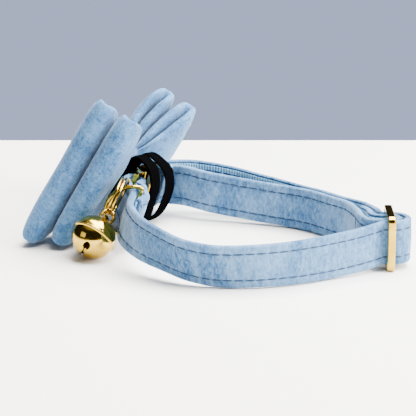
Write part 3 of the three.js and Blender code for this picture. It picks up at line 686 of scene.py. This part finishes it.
def dPoint(out, across):
    return dPlace + dOut * out + dAcross * across


bowAlong = Vector((0.29, 0.945, -0.149)).normalized()
bowUp = Vector((0.5, 0, 0.86))
bowUp = (bowUp - bowAlong * bowUp.dot(bowAlong)).normalized()
bowFront = bowUp.cross(bowAlong).normalized()
bowMiddle = buckleMiddle + bowFront * 13.1 - bowUp * 0.5


def toBow(point):
    # a point of the scene, in millimetres along, up and to the front of the bow
    away = (point - loopShift) / mm - bowMiddle
    return Vector((away.dot(bowAlong), away.dot(bowUp), away.dot(bowFront)))


metalForm = {
    "splitRadius": 6.9,
    "splitWire": 0.9,
    "dWire": dRingWire,
    "dReach": 9.7,
    "bellRadius": 7.5,
    "bellWall": 0.7,
    "shankHold": 205.0,  # degrees round the split ring
    "shankWire": 1.0,
    "shankHalf": 2.2,
    "pelletRadius": 1.9,
}
ringFront = (dOut + bowFront).normalized()
ringSight = Vector((0, 1, 0))
ringSight = (ringSight - ringFront * ringFront.y).normalized()
ringRise = ringSight.cross(ringFront).normalized()
if ringRise.z < 0:
    ringRise.negate()
ringSeat = thickness / 2 + 2 * route["gap"] + metalForm["splitWire"] + 1.6
ringMiddle = dPoint(ringSeat, 0.31 * route["width"]) - ringSight * 3.9


def ringPoint(turn, radius, height):
    return (ringMiddle + ringRise * radius * math.cos(turn) + ringSight * radius * math.sin(turn)
            + ringFront * height)


def wireRings(points, radius, sides, normal, closedPath):
    made = []
    count = len(points)
    for i, point in enumerate(points):
        before = points[(i - 1) % count] if closedPath else points[max(i - 1, 0)]
        after = points[(i + 1) % count] if closedPath else points[min(i + 1, count - 1)]
        travel = (after - before).normalized()
        side = travel.cross(normal).normalized()
        rise = side.cross(travel)
        made.append([toScene(point + side * radius * math.cos(2 * math.pi * k / sides)
                           + rise * radius * math.sin(2 * math.pi * k / sides)) for k in range(sides)])
    return made


def buildDRing():
    half = route["width"] / 2 + route["gap"] + metalForm["dWire"] / 2 + 0.6
    depth = thickness / 2 + route["gap"] + metalForm["dWire"] / 2 + 0.1
    points = []
    for i in range(41):
        turn = -math.pi / 2 + math.pi * i / 40
        points.append(dPoint(-depth + metalForm["dReach"] * math.cos(turn), half * math.sin(turn)))
    for i in range(1, 14):
        points.append(dPoint(-depth, half * (1 - i / 7)))
    bm = bmesh.new()
    sweep(bm, wireRings(points, metalForm["dWire"] / 2, 14, dTravel, True), closedPath=True)
    piece = finishMesh("dRing", bm, goldFinish)
    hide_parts("d_ring")
    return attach(piece, "root")


def buildSplitRing():
    step = metalForm["splitWire"] + route["gap"]
    steps = 56
    points = [ringPoint(2 * math.pi * i / steps, metalForm["splitRadius"], step * (i / steps - 1))
              for i in range(2 * steps + 1)]
    bm = bmesh.new()
    sweep(bm, wireRings(points, metalForm["splitWire"] / 2, 12, ringFront, False))
    bmesh.ops.recalc_face_normals(bm, faces=bm.faces)
    ends = [edge for edge in bm.edges if any(len(face.verts) > 4 for face in edge.link_faces)]
    bmesh.ops.bevel(bm, geom=ends, offset=0.12 * mm, segments=2, profile=0.5, affect="EDGES", material=-1)
    piece = finishMesh("splitRing", bm, goldFinish)
    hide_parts("split_ring")
    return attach(piece, "root")


shankTurn = math.radians(metalForm["shankHold"])
shankPlace = ringPoint(shankTurn, metalForm["splitRadius"], 0)
bellMiddle = Vector((-0.571 * route["loopLength"], -0.134 * route["loopDepth"], metalForm["bellRadius"]))
shankRise = ((shankPlace - bellMiddle).length - metalForm["bellRadius"] + metalForm["splitWire"] / 2
             + 2 * route["gap"] + metalForm["shankWire"] / 2)
bellUp = (shankPlace - bellMiddle).normalized()
ringTravel = ringSight * math.cos(shankTurn) - ringRise * math.sin(shankTurn)
bellSide = (ringTravel - bellUp * ringTravel.dot(bellUp)).normalized()
bellTurn = Matrix((bellSide, bellUp.cross(bellSide), bellUp)).transposed().to_4x4()
bellFrame = Matrix.Translation(toScene(bellMiddle)) @ bellTurn @ Matrix.Scale(mm, 4)

bellForm = {
    "ridge": 0.42,
    "ridgeHalf": 0.42,
    "slotHalf": 4.5,
    "slotWidth": 1.0,
    "holeRadius": 1.25,
    "edge": 0.14,
    "edgeAngle": 48,  # degrees, past which an edge is rounded
}


def bellProfile():
    radius = metalForm["bellRadius"]
    outer = []
    steps = 30
    for i in range(steps + 1):
        turn = -math.pi / 2 + math.pi * i / steps
        height = radius * math.sin(turn)
        reach = radius * math.cos(turn)
        outer.append((max(reach, 0.0), height))
    half = bellForm["ridgeHalf"]
    shoulder = radius + 0.6 * bellForm["ridge"]
    brim = radius + bellForm["ridge"]
    belt = [
        (radius - 0.04, -half - 0.12), (shoulder, -half + 0.05), (brim, -half + 0.25),
        (brim, -0.06), (brim - 0.12, 0.0), (brim, 0.06),  # the fine line where the two cups meet
        (brim, half - 0.25), (shoulder, half - 0.05), (radius - 0.04, half + 0.12),
    ]
    below = [p for p in outer if p[1] < -half - 0.2]
    above = [p for p in outer if p[1] > half + 0.2]
    return below + belt + above


def spinShell(profile, steps):
    bm = bmesh.new()
    verts = [bm.verts.new((x, 0, z)) for x, z in profile]
    edges = [bm.edges.new(pair) for pair in zip(verts, verts[1:])]
    bmesh.ops.spin(bm, geom=verts + edges, cent=(0, 0, 0), axis=(0, 0, 1), angle=2 * math.pi,
                   steps=steps, use_merge=True)
    bmesh.ops.remove_doubles(bm, verts=bm.verts, dist=1e-4)
    bmesh.ops.recalc_face_normals(bm, faces=bm.faces)
    return bm


def plainObject(name, bm):
    mesh = bpy.data.meshes.new(name)
    bm.to_mesh(mesh)
    bm.free()
    made = bpy.data.objects.new(name, mesh)
    bpy.context.scene.collection.objects.link(made)
    return made


def cutWith(piece, cutter):
    cut = piece.modifiers.new("cut", "BOOLEAN")
    cut.operation = "DIFFERENCE"
    cut.solver = "EXACT"
    cut.object = cutter
    applyAll(piece)
    bpy.data.objects.remove(cutter)


def squareOff(value):
    return math.copysign(abs(value) ** 0.7, value)


def buildBell():
    shell = plainObject("bellShell", spinShell(bellProfile(), 64))
    inner = bmesh.new()
    hollow = metalForm["bellRadius"] - metalForm["bellWall"]
    bmesh.ops.create_uvsphere(inner, u_segments=48, v_segments=24, radius=hollow)
    cutWith(shell, plainObject("bellHollow", inner))
    slotCut = bmesh.new()
    low = -metalForm["bellRadius"]
    slotSize = (2 * bellForm["slotHalf"], bellForm["slotWidth"], metalForm["bellRadius"], 1)
    slotPlace = Matrix.Translation((0, 0, low)) @ Matrix.Diagonal(slotSize)
    bmesh.ops.create_cube(slotCut, size=1, matrix=slotPlace)
    cutWith(shell, plainObject("bellSlot", slotCut))
    for side in (-1, 1):
        hole = bmesh.new()
        bmesh.ops.create_cone(hole, cap_ends=True, segments=28, radius1=bellForm["holeRadius"],
                              radius2=bellForm["holeRadius"], depth=metalForm["bellRadius"],
                              matrix=Matrix.Translation((side * bellForm["slotHalf"], 0, low)))
        cutWith(shell, plainObject("bellHole", hole))
    shell.data.transform(bellFrame)
    shell.name = "bellShell"
    shell.data.materials.clear()
    shell.data.materials.append(goldFinish)
    edges = shell.modifiers.new("edges", "BEVEL")
    edges.width = bellForm["edge"] * mm
    edges.segments = 2
    edges.limit_method = "ANGLE"
    edges.angle_limit = math.radians(bellForm["edgeAngle"])
    applyAll(shell)
    shadeSmooth(shell.data)

    shank = bmesh.new()
    points = []
    for i in range(40):
        turn = 2 * math.pi * i / 40
        wide = metalForm["shankHalf"] * squareOff(math.cos(turn))
        high = metalForm["bellRadius"] + shankRise * squareOff(math.sin(turn))
        points.append((bellFrame @ Vector((0, wide, high)) - loopShift) / mm)
    sweep(shank, wireRings(points, metalForm["shankWire"] / 2, 12, bellSide, True), closedPath=True)
    shankPiece = finishMesh("bellShank", shank, goldFinish)

    pellet = bmesh.new()
    bmesh.ops.create_icosphere(pellet, subdivisions=3, radius=metalForm["pelletRadius"])
    dropped = -(hollow - metalForm["pelletRadius"] - route["gap"])
    bmesh.ops.transform(pellet, matrix=bellFrame @ Matrix.Translation((0, 0, dropped)), verts=pellet.verts)
    pelletPiece = finishMesh("bellPellet", pellet, goldFinish)
    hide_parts("bell")
    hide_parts("bell_pellet")
    for piece in (shell, shankPiece, pelletPiece):
        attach(piece, "root")


def softenedCopy(name, node, bevelWidth, angle):
    # a metal node with its faceted edges rounded over
    bm = bmesh.new()
    bm.from_mesh(nodes[node].data)
    bmesh.ops.remove_doubles(bm, verts=bm.verts, dist=1e-6)
    bmesh.ops.dissolve_limit(bm, angle_limit=math.radians(2), verts=bm.verts, edges=bm.edges)
    piece = finishMesh(name, bm, goldFinish)
    rounding = piece.modifiers.new("rounding", "BEVEL")
    rounding.width = bevelWidth * mm
    rounding.segments = 3
    rounding.limit_method = "ANGLE"
    rounding.angle_limit = math.radians(angle)
    normals = piece.modifiers.new("normals", "WEIGHTED_NORMAL")
    normals.keep_sharp = False
    applyAll(piece)
    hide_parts(node)
    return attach(piece, "root")


buildDRing()
buildSplitRing()
buildBell()
softenedCopy("sliderFrame", "slider", 0.45, 25)
softenedCopy("buckleBody", "buckle_body", 0.22, 30)
softenedCopy("buckleTongue", "buckle_tongue", 0.22, 30)
print("metal pieces made")


# Bow: two padded velvet loops, a band round their middle and the elastic behind it

bowForm = {
    "wrinkle": 0.34,  # height of the folds, in millimetres
    "swell": 0.35,
    "innerShare": 0.15,  # how much of a fold shows on a face that lies on another
    "knotPleat": 0.22,
    "wingReach": 37.5,
    "knotHalf": 8.5,  # folds are held down this far from the bow's middle
    "levels": 2,
}


def quadCopy(node):
    bm = bmesh.new()
    bm.from_mesh(nodes[node].data)
    bmesh.ops.remove_doubles(bm, verts=bm.verts, dist=1e-6)
    bmesh.ops.join_triangles(bm, faces=bm.faces, angle_face_threshold=math.radians(60),
                             angle_shape_threshold=math.radians(60))
    for layer in list(bm.loops.layers.uv):
        bm.loops.layers.uv.remove(layer)
    return bm


def subdividedCopy(name, node, material):
    piece = finishMesh(name, quadCopy(node), material)
    smoothing = piece.modifiers.new("smoothing", "SUBSURF")
    smoothing.levels = bowForm["levels"]
    smoothing.render_levels = bowForm["levels"]
    applyAll(piece)
    return piece


def withNormals(mesh):
    # normals are read before any vertex moves
    return list(zip(mesh.vertices, [v.normal.copy() for v in mesh.vertices]))


def foldHeight(place, seed):
    # folds that fan out from the knot and die away towards a wing's end
    reach = abs(place.x) / bowForm["wingReach"]
    fan = place.y / (6.0 + 24.0 * reach)
    side = 1 if place.x > 0 else -1
    ripple = noise.noise(Vector((fan * 3.4 + seed, side * 2.0 + reach * 0.7, seed)))
    broad = noise.noise(Vector((place.x * 0.075, place.y * 0.075, seed + 7.0)))
    near = max(0.0, 1 - abs(reach - 0.38) / 0.42)
    return ripple * near * 1.6 + broad * 0.7


def buildBowLoop(name, node, front, seed):
    piece = subdividedCopy(name, node, bowVelvetFinish)
    mesh = piece.data
    for vert, normal in withNormals(mesh):
        place = toBow(vert.co)
        facing = normal.dot(bowFront) * front
        share = bowForm["innerShare"] + (1 - bowForm["innerShare"]) * max(0.0, min(1.0, 0.5 + facing))
        if abs(place.x) < bowForm["knotHalf"]:
            share *= 0.1
        outer = max(0.0, 1 - abs(abs(place.x) / bowForm["wingReach"] - 0.62) / 0.4)
        lift = foldHeight(place, seed) * bowForm["wrinkle"] * share
        lift += bowForm["swell"] * max(0.0, facing) * outer
        vert.co += normal * lift * mm
    shadeSmooth(mesh)
    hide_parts(node)
    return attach(piece, "root")


def buildKnot():
    piece = subdividedCopy("bowKnot", "bow_knot", bowVelvetFinish)
    for vert, normal in withNormals(piece.data):
        place = toBow(vert.co)
        outward = Vector((0, place.y, place.z)).normalized()
        facing = max(0.0, normal.dot(bowUp * outward.y + bowFront * outward.z))
        pleat = math.sin(place.x * 1.15 + 0.6 * noise.noise(Vector((place.y * 0.12, place.z * 0.12, 1.0))))
        vert.co += normal * bowForm["knotPleat"] * pleat * facing * mm
    shadeSmooth(piece.data)
    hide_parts("bow_knot")
    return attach(piece, "root")


elasticForm = {
    "ripple": 0.12,
    "bow": 0.075,
    "turnLength": 9.0,  # millimetres of weave for each radian round the loop
}


def buildElastic(name, node):
    piece = subdividedCopy(name, node, elasticFinish)
    mesh = piece.data
    low = min(toBow(v.co).x for v in mesh.vertices)
    high = max(toBow(v.co).x for v in mesh.vertices)
    centre = sum((toBow(v.co) for v in mesh.vertices), Vector()) / len(mesh.vertices)
    for vert, normal in withNormals(mesh):
        place = toBow(vert.co)
        share = (place.x - low) / (high - low)
        ripple = noise.noise(Vector((place.y * 0.3, place.z * 0.3, low))) * elasticForm["ripple"]
        vert.co += normal * ripple * mm
        vert.co += bowFront * elasticForm["bow"] * math.sin(share * math.pi * 2) * mm
    uvLayer = mesh.uv_layers.new(name="weave")
    for loop in mesh.loops:
        place = toBow(mesh.vertices[loop.vertex_index].co)
        turn = math.atan2(place.z - centre.z, place.y - centre.y)
        uvLayer.data[loop.index].uv = (place.x, turn * elasticForm["turnLength"])
    shadeSmooth(mesh)
    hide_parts(node)
    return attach(piece, "root")


buildBowLoop("bowFrontLoop", "bow_front_loop", 1, 3.0)
buildBowLoop("bowBackLoop", "bow_back_loop", -1, 11.0)
buildKnot()
buildElastic("elasticNear", "elastic_near")
buildElastic("elasticFar", "elastic_far")
print("bow made")


# Table, wall, light and camera

studio = {
    "distance": 0.650,
    "elevation": 16.0,
    "lens": 160.3,
    "tableEdge": 0.139,  # beyond the aim
    "tableHalf": 1.6,
    "tableColour": (0.93, 0.90, 0.87, 1),
    "tableLight": (0.95, 0.925, 0.895, 1),
    "wallColour": (0.47, 0.55, 0.81, 1),
    "roomStrength": 1.0,
}
aim = (lowCorner + highCorner) / 2 + Vector((-60.4, 34.4, 0.5)) * mm

floorBm = bmesh.new()
bmesh.ops.create_grid(floorBm, x_segments=1, y_segments=1, size=studio["tableHalf"])
tableMiddle = (aim.x, aim.y + studio["tableEdge"] - studio["tableHalf"], 0)
bmesh.ops.translate(floorBm, verts=floorBm.verts, vec=tableMiddle)
tableFinish, tree, shader, coords = newMaterial("tableFinish")
cloudy = addNode(tree, "ShaderNodeTexNoise", {
    "Vector": coords.outputs["Object"], "Scale": 6.0, "Detail": 3.0})
tableColour = mixColours(tree, cloudy.outputs["Fac"], studio["tableColour"], studio["tableLight"])
tree.links.new(tableColour, shader.inputs["Base Color"])
shader.inputs["Roughness"].default_value = 0.6
floor = finishMesh("table", floorBm, tableFinish, smooth=False)

world = bpy.data.worlds.new("studioWorld")
bpy.context.scene.world = world
world.use_nodes = True
sky = world.node_tree
wall = sky.nodes["Background"]
wall.inputs["Color"].default_value = studio["wallColour"]
room = addNode(sky, "ShaderNodeBackground", {"Strength": studio["roomStrength"]})
skyCoords = addNode(sky, "ShaderNodeTexCoord")
direction = addNode(sky, "ShaderNodeSeparateXYZ", {"Vector": skyCoords.outputs["Generated"]})
roomRamp = addNode(sky, "ShaderNodeValToRGB", {"Fac": direction.outputs["Z"]})
roomRamp.color_ramp.elements[0].color = (0.42, 0.40, 0.38, 1)
roomRamp.color_ramp.elements[1].color = (1, 1, 1, 1)
for place, shade in ((0.08, 0.025), (0.72, 0.03), (0.88, 0.6)):  # a dark band of room above the table
    roomRamp.color_ramp.elements.new(place).color = (shade, shade, shade, 1)
sky.links.new(roomRamp.outputs["Color"], room.inputs["Color"])
lightPath = addNode(sky, "ShaderNodeLightPath")
mixWorld = addNode(sky, "ShaderNodeMixShader", {0: lightPath.outputs["Is Camera Ray"]})
sky.links.new(room.outputs["Background"], mixWorld.inputs[1])
sky.links.new(wall.outputs["Background"], mixWorld.inputs[2])
sky.links.new(mixWorld.outputs["Shader"], sky.nodes["World Output"].inputs["Surface"])


def addPanel(name, offset, size, power, colour):
    # a soft panel of light that faces the object, in metres from the camera's aim
    offset = Vector(offset)
    data = bpy.data.lights.new(name, "AREA")
    data.shape = "RECTANGLE"
    data.size, data.size_y = size
    data.energy = power
    data.color = colour
    panel = bpy.data.objects.new(name, data)
    panel.location = aim + offset
    panel.rotation_euler = (-offset).to_track_quat("-Z", "Y").to_euler()
    bpy.context.scene.collection.objects.link(panel)


addPanel("topPanel", (0.2, 0.1, 0.72), (0.8, 0.6), 46.0, (1.0, 0.985, 0.965))
addPanel("rightPanel", (0.78, -0.22, 0.40), (0.45, 0.4), 34.0, (1.0, 0.985, 0.965))
addPanel("leftPanel", (-0.7, -0.45, 0.3), (0.4, 0.3), 0.8, (1.0, 0.99, 0.98))

cameraData = bpy.data.cameras.new("camera")
cameraData.lens = studio["lens"]
cameraData.sensor_width = 36
cameraData.dof.use_dof = False
camera = bpy.data.objects.new("camera", cameraData)
tilt = math.radians(studio["elevation"])
camera.location = aim + Vector((0, -math.cos(tilt), math.sin(tilt))) * studio["distance"]
camera.rotation_euler = (aim - camera.location).to_track_quat("-Z", "Y").to_euler()
bpy.context.scene.collection.objects.link(camera)
bpy.context.scene.camera = camera
print("studio set")
